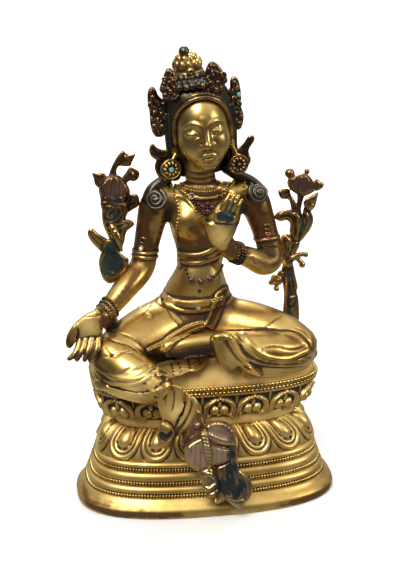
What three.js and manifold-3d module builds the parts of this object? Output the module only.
// Gilt-metal seated goddess on an oval double-lotus pedestal, with two lotus sprays and a small lotus
// for her foot. Millimetres, +Z up, +X to the viewer's right, the front towards -Y. The origin is the
// centre of the pedestal's flat underside.
import * as THREE from "three";
import { mergeVertices } from "three/addons/utils/BufferGeometryUtils.js";
import Module from "manifold-3d";

const wasm = await Module();
wasm.setup();
const { Manifold, Mesh: SolidMesh } = wasm;

// Driving sizes of the pedestal.
const rimHalfWidth = 52;
const rimFrontDepth = 27;
const rimBackDepth = 31;
const waistHalfWidth = 34.9;
const waistFrontDepth = 12;
const waistBackDepth = 20;
const seatHalfWidth = 44.8;
const seatFrontDepth = 16.6;
const seatBackDepth = 27;
const lipHeight = 6.5;
const steppedRingsHeight = 14.5;
const lowerLotusHeight = 11.5;
const waistBandHeight = 4;
const upperLotusHeight = 9.5;
const beadBandHeight = 5.5;
const seatDomeHeight = 6;
const ringGrooveDepth = 0.9;
const planSquareness = 2.6;
const petalCount = 18;
const petalRelief = 1;

// Driving sizes of the figure, the sprays and the fit between the castings.
const figureHeight = 122;
const castingGap = 0.3;

const pedestalHeight =
  lipHeight +
  steppedRingsHeight +
  lowerLotusHeight +
  waistBandHeight +
  upperLotusHeight +
  beadBandHeight +
  seatDomeHeight;

// The figure's pose is drawn upward from the seat at this height, and scales with figureHeight. The
// foot lotus is drawn in front of a pedestal of these sizes, and keeps its share of the real ones.
const drawnHeight = 122;
const drawnPedestalHeight = 57.5;
const drawnRimHalfWidth = 52;
const drawnRimFrontDepth = 27;
const figureScale = figureHeight / drawnHeight;

const lerp = THREE.MathUtils.lerp;

// A point of the drawn pose, z above the seat, placed on the real seat.
function at(x, y, z) {
  return new THREE.Vector3(x, y, z)
    .multiplyScalar(figureScale)
    .add(new THREE.Vector3(0, 0, pedestalHeight));
}

function solidOf(geometry) {
  const bare = geometry.clone();
  bare.deleteAttribute("normal");
  bare.deleteAttribute("uv");
  const merged = mergeVertices(bare, 1e-4);
  return new Manifold(
    new SolidMesh({
      numProp: 3,
      vertProperties: merged.attributes.position.array,
      triVerts: new Uint32Array(merged.index.array),
    }),
  );
}

function joined(solids) {
  return solids.reduce((whole, solid) => whole.add(solid));
}

function geometryOf(solid) {
  const mesh = solid.getMesh();
  const geometry = new THREE.BufferGeometry();
  geometry.setAttribute("position", new THREE.BufferAttribute(mesh.vertProperties, 3));
  geometry.setIndex(new THREE.BufferAttribute(mesh.triVerts, 1));
  return geometry;
}

// Closed skin over rings of points that have equal counts, with a point or a flat fan at each end.
function skinned(rings, firstTip, lastTip) {
  const sides = rings[0].length;
  const points = [firstTip, ...rings.flat(), lastTip];
  const triangles = [];
  const corner = (ring, side) => 1 + ring * sides + (side % sides);
  for (let side = 0; side < sides; side++) {
    triangles.push(0, corner(0, side + 1), corner(0, side));
    for (let ring = 0; ring + 1 < rings.length; ring++) {
      const [a, b] = [corner(ring, side), corner(ring, side + 1)];
      const [c, d] = [corner(ring + 1, side), corner(ring + 1, side + 1)];
      triangles.push(a, b, d, a, d, c);
    }
    triangles.push(points.length - 1, corner(rings.length - 1, side), corner(rings.length - 1, side + 1));
  }
  const geometry = new THREE.BufferGeometry().setFromPoints(points);
  geometry.setIndex(triangles);
  const solid = solidOf(geometry);
  if (solid.volume() > 0) return solid;
  const turned = triangles.slice();
  for (let i = 0; i < turned.length; i += 3) [turned[i + 1], turned[i + 2]] = [turned[i + 2], turned[i + 1]];
  geometry.setIndex(turned);
  return solidOf(geometry);
}

// A limb, fold or stem: an oval section swept along a smooth line through stations
// [x, y, z, radius, flatness]. The section is radius wide across the facing direction and
// radius * flatness thick along it.
function limb(stations, { sides = 8, facing = [0, 1, 0], blunt = 0.75, place = at } = {}) {
  const curve = new THREE.CatmullRomCurve3(
    stations.map(([x, y, z]) => place(x, y, z)),
    false,
    "centripetal",
  );
  const spine = stations.map(([, , , radius, flatness = 1], i) => ({
    centre: curve.getPoint(i / (stations.length - 1)),
    along: curve.getTangent(i / (stations.length - 1)),
    radius: radius * figureScale,
    flatness,
  }));
  const ringAt = ({ centre, along, radius, flatness }, shrink, shift) => {
    const outward = new THREE.Vector3(...facing);
    const depth = outward.clone().addScaledVector(along, -along.dot(outward)).normalize();
    const width = new THREE.Vector3().crossVectors(along, depth);
    const middle = centre.clone().addScaledVector(along, shift * radius);
    return Array.from({ length: sides }, (_, side) => {
      const turn = (2 * Math.PI * side) / sides;
      return middle
        .clone()
        .addScaledVector(width, Math.cos(turn) * radius * shrink)
        .addScaledVector(depth, Math.sin(turn) * radius * flatness * shrink);
    });
  };
  const [first, last] = [spine[0], spine[spine.length - 1]];
  const capShift = 0.4 * blunt;
  const rings = [
    ringAt(first, 0.75, -capShift * Math.min(1, first.flatness)),
    ...spine.map((station) => ringAt(station, 1, 0)),
    ringAt(last, 0.75, capShift * Math.min(1, last.flatness)),
  ];
  const tip = (station, sign) =>
    station.centre
      .clone()
      .addScaledVector(station.along, sign * blunt * station.radius * Math.min(1, station.flatness));
  return skinned(rings, tip(first, -1), tip(last, 1));
}

// An ellipsoid at a place of the drawn pose.
function lump([x, y, z], [rx, ry, rz], { across = 10, up = 8, place = at } = {}) {
  const geometry = new THREE.SphereGeometry(1, across, up);
  geometry.rotateX(Math.PI / 2);
  geometry.scale(rx * figureScale, ry * figureScale, rz * figureScale);
  const centre = place(x, y, z);
  geometry.translate(centre.x, centre.y, centre.z);
  return solidOf(geometry);
}

// A short round disc or ring seat whose axis lies along the given direction.
function disc([x, y, z], radius, thickness, direction, sides = 10) {
  const geometry = new THREE.CylinderGeometry(
    radius * figureScale,
    radius * figureScale,
    thickness * figureScale,
    sides,
  );
  const turn = new THREE.Quaternion().setFromUnitVectors(
    new THREE.Vector3(0, 1, 0),
    new THREE.Vector3(...direction).normalize(),
  );
  geometry.applyQuaternion(turn);
  const centre = at(x, y, z);
  geometry.translate(centre.x, centre.y, centre.z);
  return solidOf(geometry);
}

// One point of the pedestal's oval plan, with its own depth in front and behind.
function planPoint(angle, halfWidth, frontDepth, backDepth) {
  const [c, s] = [Math.cos(angle), Math.sin(angle)];
  const power = 2 / planSquareness;
  const depth = s < 0 ? frontDepth : backDepth;
  return [
    halfWidth * Math.sign(c) * Math.abs(c) ** power,
    depth * Math.sign(s) * Math.abs(s) ** power,
  ];
}

// The plan angle that stands at a share of the way round the oval, measured along it.
function evenAngle(share, oval) {
  const samples = 720;
  const lengths = [0];
  let last = planPoint(0, ...oval);
  for (let i = 1; i <= samples; i++) {
    const next = planPoint((2 * Math.PI * i) / samples, ...oval);
    lengths.push(lengths[i - 1] + Math.hypot(next[0] - last[0], next[1] - last[1]));
    last = next;
  }
  const wanted = share * lengths[samples];
  const index = Math.max(1, lengths.findIndex((length) => length >= wanted));
  const within = (wanted - lengths[index - 1]) / (lengths[index] - lengths[index - 1]);
  return (2 * Math.PI * (index - 1 + within)) / samples;
}

// A solid of stacked ovals, each [height, halfWidth, frontDepth, backDepth, ridge]. Every other corner
// is the middle of a petal: there a ridge lifts the wall outward, and between petals sinks it inward.
function stackedOvals(levels) {
  const sides = 2 * petalCount;
  const rings = levels.map(([z, halfWidth, frontDepth, backDepth, ridge = 0]) =>
    Array.from({ length: sides }, (_, i) => {
      const lift = i % 2 ? ridge : -ridge;
      const angle = evenAngle(i / sides, [halfWidth, frontDepth, backDepth]);
      const [x, y] = planPoint(angle, halfWidth + lift, frontDepth + lift, backDepth + lift);
      return new THREE.Vector3(x, y, z);
    }),
  );
  const [bottom, top] = [levels[0][0], levels[levels.length - 1][0]];
  return skinned(rings, new THREE.Vector3(0, 0, bottom), new THREE.Vector3(0, 0, top));
}

// Heights of the pedestal's mouldings, from the floor up.
const ringsFoot = lipHeight;
const lowerLotusFoot = ringsFoot + steppedRingsHeight;
const waistFoot = lowerLotusFoot + lowerLotusHeight;
const upperLotusFoot = waistFoot + waistBandHeight;
const beadBandFoot = upperLotusFoot + upperLotusHeight;
const seatEdge = beadBandFoot + beadBandHeight;

// The three named ovals, blended by share and moved in or out by an offset.
const rimOval = [rimHalfWidth, rimFrontDepth, rimBackDepth];
const waistOval = [waistHalfWidth, waistFrontDepth, waistBackDepth];
const seatOval = [seatHalfWidth, seatFrontDepth, seatBackDepth];

function level(height, from, to, share, offset) {
  return [height, ...from.map((size, i) => lerp(size, to[i], share) + offset)];
}

function pedestalLevels(grow) {
  const base = (height, share, offset = 0) => level(height, rimOval, waistOval, share, offset + grow);
  const top = (height, share, offset = 0) => level(height, waistOval, seatOval, share, offset + grow);
  const levels = [base(0, 0), base(0.4 * lipHeight, 0, 0.2), base(lipHeight, 0.2)];
  const stepCount = 3;
  const stepHeight = steppedRingsHeight / stepCount;
  for (let step = 0; step < stepCount; step++) {
    const foot = ringsFoot + step * stepHeight;
    const share = 0.22 + 0.1 * step;
    levels.push(base(foot + 0.2 * stepHeight, share + 0.01, -ringGrooveDepth));
    levels.push(base(foot + 0.45 * stepHeight, share + 0.03));
    levels.push(base(foot + 0.95 * stepHeight, share + 0.08));
  }
  levels.push(base(lowerLotusFoot + 0.1 * lowerLotusHeight, 0.5, -0.8));
  levels.push([...base(lowerLotusFoot + 0.2 * lowerLotusHeight, 0.52), 0.6 * petalRelief]);
  levels.push([...base(lowerLotusFoot + 0.6 * lowerLotusHeight, 0.63), petalRelief]);
  levels.push(base(waistFoot - 0.08 * lowerLotusHeight, 0.86));
  levels.push(top(waistFoot, 0));
  levels.push(top(upperLotusFoot, 0));
  levels.push([...top(upperLotusFoot + 0.12 * upperLotusHeight, 0.5), 0.5 * petalRelief]);
  levels.push([...top(upperLotusFoot + 0.45 * upperLotusHeight, 0.76), petalRelief]);
  levels.push([...top(beadBandFoot - 0.1 * upperLotusHeight, 0.86), 0.5 * petalRelief]);
  levels.push(top(beadBandFoot + 0.1 * beadBandHeight, 0.8, -0.5));
  levels.push(top(beadBandFoot + 0.3 * beadBandHeight, 0.98));
  levels.push(top(seatEdge - 0.1 * beadBandHeight, 1));
  levels.push(top(seatEdge + 0.2 * seatDomeHeight, 1, -1.6));
  levels.push(top(seatEdge + 0.62 * seatDomeHeight, 1, -5.5));
  levels.push(top(pedestalHeight + grow, 1, -11));
  return levels;
}

// Torso, dress and neck as ovals [height, centreX, centreY, halfWidth, halfDepth], swaying to her right at
// the hip, with the belt, the sash under the breasts and the collar as raised rolls.
const torsoOvals = [
  [-1.5, -1.5, 10.0, 19.5, 13.5],
  [6.5, -1.8, 10.0, 19.5, 14.0],
  [14.5, -2.2, 9.5, 17.2, 13.0],
  [22, -2.3, 8.2, 14.2, 11.4],
  [23.5, -2.3, 7.8, 15.0, 12.6],
  [26.5, -2.2, 7.5, 14.0, 12.0],
  [28, -2.1, 7.2, 12.2, 10.8],
  [32, -1.5, 7.0, 10.4, 9.6],
  [36.5, -0.9, 7.0, 9.0, 7.8],
  [39.3, -0.4, 7.0, 10.6, 9.0],
  [42.3, 0.0, 7.0, 11.2, 9.2],
  [43.3, 0.1, 7.0, 10.4, 8.2],
  [49.5, 0.6, 6.5, 12.8, 8.8],
  [56.5, 0.9, 6.5, 14.6, 9.0],
  [62.5, 1.2, 7.0, 15.6, 8.6],
  [67, 1.0, 7.0, 13.6, 7.4],
  [69.5, -0.2, 5.4, 9.2, 7.4],
  [72.1, -0.6, 4.8, 8.0, 6.9],
  [73.1, -1.1, 4.5, 6.2, 5.6],
  [83.5, -1.8, 3.5, 5.9, 5.8],
];

// A closed skin over level ovals, each placed in the drawn pose by the given function.
function ovalStack(ovals, sides, place) {
  const rings = ovals.map(([z, cx, cy, rx, ry]) =>
    Array.from({ length: sides }, (_, side) => {
      const turn = (2 * Math.PI * side) / sides;
      return at(...place(cx + rx * Math.cos(turn), cy + ry * Math.sin(turn), z));
    }),
  );
  const [first, last] = [ovals[0], ovals[ovals.length - 1]];
  const end = ([z, cx, cy]) => at(...place(cx, cy, z));
  return skinned(rings, end(first), end(last));
}

function torso() {
  return joined([
    ovalStack(torsoOvals, 12, (x, y, z) => [x, y, z]),
    lump([-6.3, -0.4, 56.3], [5.4, 4.6, 5.4], { across: 8, up: 5 }),
    lump([7.6, -0.4, 56.7], [5.4, 4.6, 5.4], { across: 8, up: 5 }),
    limb(
      [
        [6.0, -0.6, 33.5, 1.4, 0.9],
        [7.8, -1.6, 29.1, 1.9, 0.7],
        [5.2, -3.8, 21.5, 2.1, 0.7],
        [0.6, -5.0, 14.3, 1.9, 0.6],
      ],
      { sides: 5 },
    ),
  ]);
}

// Right leg: thigh out to the knee, shin back down to the front of the seat, foot hanging free.
const rightShinEnd = [
  [-20.5, -22.6, -1.1, 5.2],
  [-14.6, -23.4, -7.3, 4.9],
  [-16.2, -24.2, -13.9, 3.7],
  [-18.4, -26.4, -19.3, 3.3],
];

function rightLeg() {
  return [
    limb(
      [
        [-6, 8, 10.5, 12.0],
        [-14, 5.4, 10.7, 11.8],
        [-23, 0.6, 9.9, 11.2],
        [-32, -5, 7.5, 10.0],
        [-37.6, -9.5, 6.7, 8.2],
      ],
      { sides: 10 },
    ),
    limb(
      [
        [-37.8, -9.0, 5.9, 7.6],
        [-33, -15.0, 3.3, 8.2],
        [-25.4, -20.8, -0.1, 6.8],
        [-21.4, -22.6, -1.5, 6.0],
      ],
      { sides: 10, blunt: 0.3 },
    ),
    limb(rightShinEnd),
    limb(
      [
        [-17.6, -24.6, -15.9, 3.0],
        [-18.8, -27.2, -20.3, 3.1, 0.8],
        [-20.0, -28.4, -23.3, 2.8, 0.6],
      ],
      { sides: 8, facing: [0, 1, -0.6] },
    ),
  ];
}

// Left leg: thigh out to the knee, shin folded back in front of her, sole turned up by the right thigh.
function leftLeg() {
  return [
    limb(
      [
        [5, 8, 9.5, 11.0],
        [13, 5.4, 9.7, 10.9],
        [22, 1.6, 8.7, 10.3],
        [30, -2, 6.7, 9.4],
        [36.6, -4.5, 4.5, 7.2],
      ],
      { sides: 10 },
    ),
    limb(
      [
        [36.5, -5.5, 3.3, 6.8],
        [26, -10.5, 4.3, 7.2],
        [15, -13.0, 6.9, 6.4],
        [5, -13.8, 9.9, 5.2],
      ],
      { sides: 10, blunt: 0.3 },
    ),
    limb(
      [
        [6, -13.4, 10.1, 4.2],
        [-2, -14.2, 11.1, 4.3, 0.85],
        [-11, -15.0, 10.7, 4.0, 0.8],
        [-19, -15.4, 9.7, 3.0, 0.6],
        [-23.4, -15.4, 9.3, 2.0, 0.6],
      ],
      { sides: 8 },
    ),
  ];
}

// Cloth: the folds over the knees and shins, the falls spread on the seat, and the lap between the legs.
function drapery() {
  const fold = (stations) => limb(stations, { sides: 5, facing: [0.2, 0.6, -0.8] });
  return [
    lump([-3, 4, 2], [34, 14, 5], { across: 12, up: 4 }),
    fold([
      [-44, -2, -1, 2.4],
      [-43, -9, -2.9, 2.8],
      [-37, -16.5, -4.7, 2.6],
      [-28, -22.5, -5.9, 2.4],
      [-23, -24.6, -4.9, 1.8],
    ]),
    fold([
      [-45, -5, 4, 2.0],
      [-42, -12, 1, 2.2],
      [-35, -18.6, -0.9, 2.4],
      [-26, -24.0, -2.1, 2.0],
    ]),
    fold([
      [-42, 2, 0, 3.0],
      [-30, 8, 0, 3.2],
      [-18, 12, 0, 3.0],
    ]),
    fold([
      [43, -1, -1.5, 2.4],
      [37, -9, -2.7, 2.4],
      [26, -13.4, -2.9, 2.4],
      [14, -15.0, -1.9, 2.2],
    ]),
    fold([
      [43, 0, 2.9, 2.4],
      [37, -9.4, 0.1, 2.8],
      [24, -14.6, 0.5, 2.4],
      [11, -16.2, 2.9, 2.2],
    ]),
    fold([
      [40, 4, 0, 3.0],
      [30, 9, 0, 3.2],
      [18, 13, 0, 3.0],
    ]),
    limb(
      [
        [4.6, -15.6, 9.5, 3.2, 0.6],
        [5.2, -17.2, 4, 4.0, 0.35],
        [9.0, -16.8, 0.1, 5.2, 0.3],
        [15.0, -15.8, -1.7, 4.2, 0.3],
      ],
      { sides: 8, facing: [0, 1, -0.3] },
    ),
    limb(
      [
        [-19, -5, 0.9, 3.0, 0.6],
        [-15, -11, -0.1, 4.6, 0.36],
        [-9.6, -14.0, -0.5, 5.4, 0.28],
        [-4, -14.4, -0.3, 3.6, 0.28],
      ],
      { sides: 6, facing: [0, 0, 1] },
    ),
  ];
}

// Right arm hangs down and out to the knee, the open hand turned to the front with its fingers down.
const rightArmLine = [
  [-14.6, 8, 64.9, 5.2],
  [-18.2, 7.5, 61.1, 6.2],
  [-20.2, 7.2, 52.5, 5.5],
  [-22.1, 6.9, 43.7, 4.8],
  [-22.2, 6.8, 42.7, 5.8],
  [-22.6, 6.7, 40.7, 5.9],
  [-22.9, 6.4, 39.1, 5.0],
  [-25.2, 4.6, 34.9, 5.3],
  [-30.8, 0.0, 30.7, 4.9],
  [-37.0, -4.4, 25.3, 4.0],
  [-37.7, -5.0, 24.8, 4.7],
  [-39.9, -6.4, 23.2, 4.4],
  [-40.4, -6.8, 22.7, 3.4],
];

function rightArm() {
  const fingerTips = [
    [-52.6, -11.6, 15.1, -56.2, -16.0, 9.1],
    [-50.6, -12.0, 13.9, -53.0, -16.4, 8.5],
    [-48.2, -12.2, 13.3, -49.8, -16.4, 8.5],
    [-45.4, -11.8, 13.9, -46.6, -15.8, 8.9],
  ];
  const fingers = fingerTips.map(([x, y, z, tx, ty, tz]) =>
    limb(
      [
        [x + 0.4, y + 1.4, z + 2.6, 1.6],
        [lerp(x, tx, 0.3), y - 2.2, lerp(z, tz, 0.45), 1.5],
        [tx, ty, tz, 1.3],
      ],
      { sides: 4 },
    ),
  );
  return [
    limb(rightArmLine),
    limb(
      [
        [-41.0, -6.8, 22.9, 3.4, 0.8],
        [-45.4, -9.0, 21.5, 5.0, 0.5],
        [-49.0, -11.0, 17.1, 5.6, 0.42],
        [-49.4, -12.0, 14.1, 4.6, 0.4],
      ],
      { sides: 8, facing: [0.25, 1, 0.35] },
    ),
    ...fingers,
    limb(
      [
        [-49.4, -9.8, 20.5, 2.0],
        [-54.0, -11.2, 17.1, 2.0],
        [-55.6, -12.2, 13.3, 1.6],
      ],
      { sides: 5 },
    ),
  ];
}

// Left arm is bent at the elbow, the hand raised before the breast with three fingers up.
const leftArmLine = [
  [15.6, 8, 65.5, 5.2],
  [20.2, 7.5, 61.5, 6.2],
  [22.9, 7.2, 54.5, 5.5],
  [24.9, 6.5, 47.9, 5.0],
  [25.2, 6.4, 46.9, 5.8],
  [25.8, 6.0, 44.7, 5.8],
  [26.4, 5.6, 43.1, 5.0],
  [26.4, 4.0, 37.1, 5.3],
  [23.0, 1.6, 36.9, 5.0],
  [17.6, -1.4, 40.3, 4.3],
  [12.6, -4.0, 43.2, 3.7],
  [12.0, -4.4, 43.5, 4.5],
  [9.6, -6.0, 44.9, 4.3],
  [9.0, -6.4, 45.3, 3.4],
];

function leftArm() {
  const raised = [0, 1, 2].map((i) =>
    limb(
      [
        [4.0 + 2.1 * i, -11.6, 57.5, 1.5],
        [5.4 + 1.9 * i, -12.6, 64.5, 1.4],
        [7.4 + 1.4 * i, -12.2, 72.3 - 1.6 * i, 1.0],
      ],
      { sides: 4 },
    ),
  );
  return [
    limb(leftArmLine),
    limb(
      [
        [8.0, -7.6, 45.5, 3.2, 0.8],
        [6.0, -9.6, 49.1, 4.6, 0.55],
        [4.4, -11.0, 54.9, 5.0, 0.45],
        [5.4, -11.4, 58.9, 4.2, 0.4],
      ],
      { sides: 8, facing: [0.1, 1, 0.1] },
    ),
    ...raised,
    limb(
      [
        [1.6, -11.4, 57.1, 1.6],
        [1.4, -14.6, 61.9, 1.5],
        [4.4, -16.4, 63.1, 1.4],
        [7.6, -14.8, 60.5, 1.6],
        [8.6, -11.8, 55.5, 1.8],
      ],
      { sides: 4 },
    ),
  ];
}

// The head leans to her right. Places on it are taken from its middle, as if it were upright.
const headCentre = [-1.4, 1.0, 91.9];
const headLean = THREE.MathUtils.degToRad(-7);

function onHead(x, y, z) {
  const [c, s] = [Math.cos(headLean), Math.sin(headLean)];
  return [headCentre[0] + x * c + z * s, headCentre[1] + y, headCentre[2] + z * c - x * s];
}

function headLimb(stations, options) {
  return limb(
    stations.map(([x, y, z, ...rest]) => [...onHead(x, y, z), ...rest]),
    { sides: 6, ...options },
  );
}

// One leaf of the crown, a lobed blade that leans out from the head.
function crownLeaf([x, y, z], [tipX, tipY, tipZ], halfWidth, facing) {
  const along = (share) => [lerp(x, tipX, share), lerp(y, tipY, share), lerp(z, tipZ, share)];
  return headLimb(
    [
      [...along(0.1), halfWidth * 0.9, 0.4],
      [...along(0.4), halfWidth, 0.45],
      [...along(0.56), halfWidth * 0.7, 0.6],
      [...along(0.9), halfWidth * 0.5, 0.7],
    ],
    { sides: 4, facing },
  );
}

// Hair, crown band, coiled topknot, jewelled dome and finial as ovals about the head's middle.
const hairOvals = [
  [-23, -0.4, 9.0, 11.4, 4.0],
  [-14, -0.4, 7.0, 12.6, 5.6],
  [-6, 0, 5.0, 12.8, 9.4],
  [2, 0, 4.0, 13.2, 11.2],
  [8.6, 0.1, 3.0, 12.6, 11.8],
  [9.8, 0.2, 1.8, 13.4, 12.6],
  [13.2, 0.2, 1.6, 13.6, 12.8],
  [15.2, -0.2, 2.2, 11.4, 11.0],
  [16.4, -0.8, 2.8, 8.4, 8.4],
  [19.6, -1.0, 3.2, 7.6, 7.6],
  [21.0, -1.4, 3.6, 5.8, 5.8],
  [24.4, -1.6, 4.0, 5.7, 5.7],
  [27.4, -1.9, 4.4, 3.6, 3.6],
  [28.4, -2.0, 4.6, 2.2, 2.2],
  [30.6, -2.1, 4.6, 1.9, 1.9],
];

function head() {
  return [
    ovalStack(hairOvals, 12, onHead),
    lump(onHead(0, -1.2, -0.6), [10.2, 11.4, 13.2], { across: 10, up: 8 }),
    lump(onHead(0, -6.6, -6.6), [6.8, 5.2, 6.2], { across: 8, up: 5 }),
    headLimb(
      [
        [0, -11.4, 2.0, 1.0],
        [0, -13.4, -2.6, 1.5],
      ],
      { sides: 4 },
    ),
    crownLeaf([-10.0, -5.6, 11.4], [-9.6, -6.0, 23.6], 3.9, [0.5, 1, 0]),
    crownLeaf([8.6, -5.6, 11.4], [6.6, -6.0, 25.2], 4.0, [-0.5, 1, 0]),
    crownLeaf([-13.6, 2.6, -1.6], [-16.0, 2.6, 15.0], 4.1, [0.4, 1, 0]),
    crownLeaf([14.4, 2.6, -1.6], [15.2, 2.6, 16.4], 3.6, [-0.4, 1, 0]),
    ...[-1, 1].map((side) =>
      headLimb([
        [side * 11.0, 1.2, -4, 2.8],
        [side * 12.0, 2.4, -14, 3.8],
        [side * 14.6, 4.0, -22, 4.4],
      ]),
    ),
    ...[
      [-12.6, -14.0],
      [13.4, -15.2],
    ].map(([x, z]) => disc(onHead(x, -2.4, z), 4.1, 3.4, [0, -1, 0.1])),
    headLimb(
      [
        [-11.0, 2.6, -9.0, 2.6, 0.5],
        [-15.2, 2.4, -9.2, 2.4, 0.5],
        [-19.2, 2.0, -5.4, 1.2, 0.7],
      ],
      { sides: 4 },
    ),
    headLimb(
      [
        [12.6, 2.6, -15.0, 3.0, 0.5],
        [16.4, 2.4, -14.6, 3.4, 0.5],
        [17.4, 2.0, -11.2, 2.8, 0.5],
        [19.8, 1.8, -7.4, 1.2, 0.7],
      ],
      { sides: 4 },
    ),
  ];
}

// Hair spirals that lie on the shoulders.
const rightCurl = [-19.2, 1.8, 64.7];
const leftCurl = [21.0, 1.8, 65.5];
const curlRadius = 5.0;

function shoulderCurls() {
  return [
    disc(rightCurl, curlRadius, 6.0, [-0.35, -1, 0.4]),
    disc(leftCurl, curlRadius, 6.0, [0.35, -1, 0.4]),
  ];
}

function figureSolid() {
  const whole = joined([
    torso(),
    ...rightLeg(),
    ...leftLeg(),
    ...drapery(),
    ...rightArm(),
    ...leftArm(),
    ...head(),
    ...shoulderCurls(),
  ]);
  return whole.subtract(stackedOvals(pedestalLevels(castingGap)));
}

// A limb of the figure, thickened by the casting gap, that a neighbouring casting is cut back by.
function clearanceOf(stations, options) {
  const gap = castingGap / figureScale;
  return limb(
    stations.map(([x, y, z, radius, flatness]) => [x, y, z, radius + gap, flatness]),
    options,
  );
}

// Runs of stem and leaf, each a list of stations, with round blossoms and buds [x, y, z, rx, ry, rz].
function spray(runs, blooms, place = at) {
  return joined([
    ...runs.map((stations) => limb(stations, { sides: 5, place })),
    ...blooms.map(([x, y, z, ...radii]) => lump([x, y, z], radii, { across: 8, up: 5, place })),
  ]);
}

// The spray by her right arm: a large curled leaf pinned to the forearm, a leafy stem, a blossom, buds.
function rightSpraySolid() {
  const curlClearance = [
    [rightCurl[0], rightCurl[1] + 4, rightCurl[2] - 1, curlRadius],
    [rightCurl[0] - 1, rightCurl[1] - 4, rightCurl[2] + 1, curlRadius],
  ];
  return spray(
    [
      [
        [-43.8, 6.0, 52.9, 1.6, 0.8],
        [-41.6, 5.6, 50.1, 2.6, 0.7],
        [-38.2, 5.0, 45.7, 2.8, 0.8],
        [-35.4, 4.4, 41.1, 4.6, 0.6],
        [-35.6, 3.4, 36.1, 4.4, 0.5],
        [-36.6, 3.0, 33.7, 2.8, 0.5],
      ],
      [
        [-32.6, 4.6, 38.1, 3.0, 0.6],
        [-31.4, 6.0, 43.5, 2.2, 0.8],
        [-32.6, 7.0, 50.5, 4.0, 0.5],
        [-33.4, 7.6, 57.5, 5.0, 0.5],
        [-33.8, 8.0, 63.1, 5.2, 0.6],
        [-34.6, 8.0, 67.1, 4.4, 0.8],
      ],
      [
        [-37.0, 8.0, 69.1, 2.2, 0.7],
        [-39.8, 8.0, 71.1, 2.8, 0.45],
        [-42.4, 8.0, 74.1, 1.4, 0.6],
      ],
      [
        [-33.6, 8.0, 72.1, 1.3],
        [-32.8, 8.0, 76.5, 1.2],
        [-31.0, 8.0, 80.9, 1.7, 0.7],
        [-27.8, 8.0, 80.3, 2.4, 0.6],
        [-26.6, 8.0, 78.1, 1.0, 0.8],
      ],
      [
        [-31.6, 8.0, 70.5, 1.5],
        [-29.0, 8.0, 71.5, 1.4],
        [-26.4, 8.0, 73.5, 1.6],
      ],
      [
        [-31.0, 7.6, 56.1, 1.6],
        [-28.4, 8.0, 59.5, 1.8],
        [-25.0, 8.4, 63.5, 1.8],
      ],
      [
        [-31.4, 7.0, 48.9, 1.5],
        [-28.2, 7.6, 52.5, 1.7],
        [-25.8, 8.2, 54.5, 1.5],
      ],
    ],
    [
      [-34.8, 8.0, 69.7, 5.4, 4.4, 5.0],
      [-26.4, 8.0, 73.7, 2.8, 2.6, 2.8],
    ],
  )
    .subtract(clearanceOf(rightArmLine))
    .subtract(clearanceOf(curlClearance));
}

// The spray by her left arm: a stem that rises from the seat behind the knee and passes her elbow.
function leftSpraySolid() {
  return spray(
    [
      [
        [37.6, 15.0, -1.5, 3.0],
        [38.1, 14.0, 6.5, 2.8],
        [37.5, 13.0, 16.1, 2.8],
        [35.0, 12.0, 23.5, 2.7],
        [33.4, 11.6, 30.5, 3.2],
        [33.6, 11.0, 36.5, 3.6],
        [34.0, 10.8, 42.5, 2.8],
        [36.2, 10.5, 47.9, 2.2],
        [36.4, 10.2, 52.3, 2.0],
        [33.4, 10.0, 54.9, 2.2, 0.7],
        [29.4, 9.4, 53.5, 1.3],
      ],
      [
        [34.6, 11.4, 34.5, 2.4],
        [38.4, 11.0, 39.5, 2.8, 0.7],
        [42.0, 11.0, 44.9, 3.2, 0.6],
        [43.4, 11.0, 51.5, 3.0, 0.6],
        [42.8, 11.0, 56.5, 2.2, 0.8],
        [40.6, 10.4, 60.5, 2.0],
      ],
      [
        [36.6, 10.4, 51.1, 2.0],
        [38.4, 10.4, 55.9, 2.2, 0.8],
        [36.0, 10.2, 59.5, 2.0],
        [32.4, 10.0, 61.7, 2.4, 0.6],
      ],
      [
        [43.6, 10.8, 56.1, 1.6],
        [45.6, 10.4, 59.1, 1.7],
        [47.8, 10.0, 61.1, 1.3],
      ],
      [
        [36.0, 11.4, 31.1, 1.8],
        [39.2, 11.2, 34.1, 1.8, 0.7],
        [42.4, 11.0, 35.7, 1.9],
      ],
      [
        [38.6, 11.2, 33.5, 1.4],
        [41.8, 11.0, 31.5, 1.7],
      ],
      [
        [34.6, 11.6, 26.5, 2.4],
        [31.0, 10.6, 24.9, 3.0, 0.7],
        [31.2, 10.2, 21.5, 2.0, 0.7],
      ],
    ],
    [
      [40.0, 10.0, 65.1, 5.4, 4.4, 4.9],
      [34.9, 10.0, 70.1, 2.3, 2.2, 2.3],
      [41.9, 10.0, 70.7, 1.4, 1.4, 1.4],
      [46.9, 10.0, 65.3, 1.9, 1.6, 2.2],
    ],
  )
    .subtract(clearanceOf(leftArmLine))
    .subtract(stackedOvals(pedestalLevels(castingGap)));
}

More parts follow.
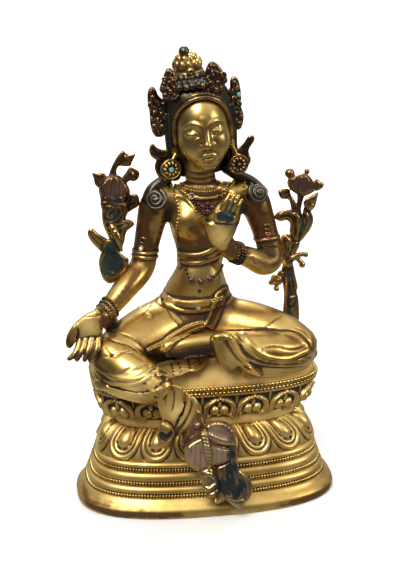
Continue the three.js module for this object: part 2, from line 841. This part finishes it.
// A point drawn in front of the pedestal, which keeps its share of the rim's size and the seat's height.
function inFrontOfPedestal(x, y, z) {
  return new THREE.Vector3(
    (x * rimHalfWidth) / drawnRimHalfWidth,
    (y * rimFrontDepth) / drawnRimFrontDepth,
    (z * pedestalHeight) / drawnPedestalHeight,
  );
}

// The small lotus at the front of the pedestal, on a leafy stem that rises from the rim.
function footLotusSolid() {
  return spray(
    [
      [
        [9.6, -31.0, 4.6, 1.8, 0.8],
        [7.2, -30.4, 9.0, 3.4, 0.7],
        [4.0, -29.4, 16.0, 3.8, 0.8],
        [1.6, -28.0, 24.0, 3.4, 0.8],
      ],
      [
        [8.8, -30.0, 7.0, 1.8, 0.7],
        [11.0, -29.6, 12.6, 2.8, 0.5],
        [9.0, -28.4, 18.6, 2.2, 0.6],
        [6.6, -27.0, 24.0, 1.6],
      ],
      [
        [1.6, -30.4, 11.6, 1.8, 0.7],
        [-2.2, -31.0, 13.8, 2.8, 0.6],
        [-3.0, -30.2, 18.6, 2.2, 0.7],
        [-1.6, -29.0, 23.6, 1.8],
      ],
      [
        [-2.0, -26.6, 33.6, 2.4],
        [-5.6, -26.0, 38.0, 2.9, 0.6],
        [-6.4, -24.4, 43.0, 2.0, 0.5],
      ],
    ],
    [
      [-2.0, -28.0, 30.0, 7.6, 4.6, 5.6],
      [2.2, -26.6, 35.0, 7.2, 5.0, 5.2],
      [5.0, -28.6, 27.6, 4.4, 3.6, 6.2],
    ],
    inFrontOfPedestal,
  )
    .subtract(stackedOvals(pedestalLevels(castingGap)))
    .subtract(clearanceOf(rightShinEnd));
}

const gilding = { color: 0xc8963c, roughness: 0.32, metalness: 1 };
const agedMetal = { color: 0x4a3a2c, roughness: 0.5, metalness: 0.9 };

function casting(name, solid, look) {
  const mesh = new THREE.Mesh(geometryOf(solid), new THREE.MeshStandardMaterial(look));
  mesh.name = name;
  return mesh;
}

const tara = new THREE.Group();
tara.add(casting("lotus_pedestal", stackedOvals(pedestalLevels(0)), gilding));
tara.add(casting("seated_figure", figureSolid(), gilding));
tara.add(casting("right_lotus_spray", rightSpraySolid(), agedMetal));
tara.add(casting("left_lotus_spray", leftSpraySolid(), agedMetal));
tara.add(casting("foot_lotus", footLotusSolid(), agedMetal));

export default tara;
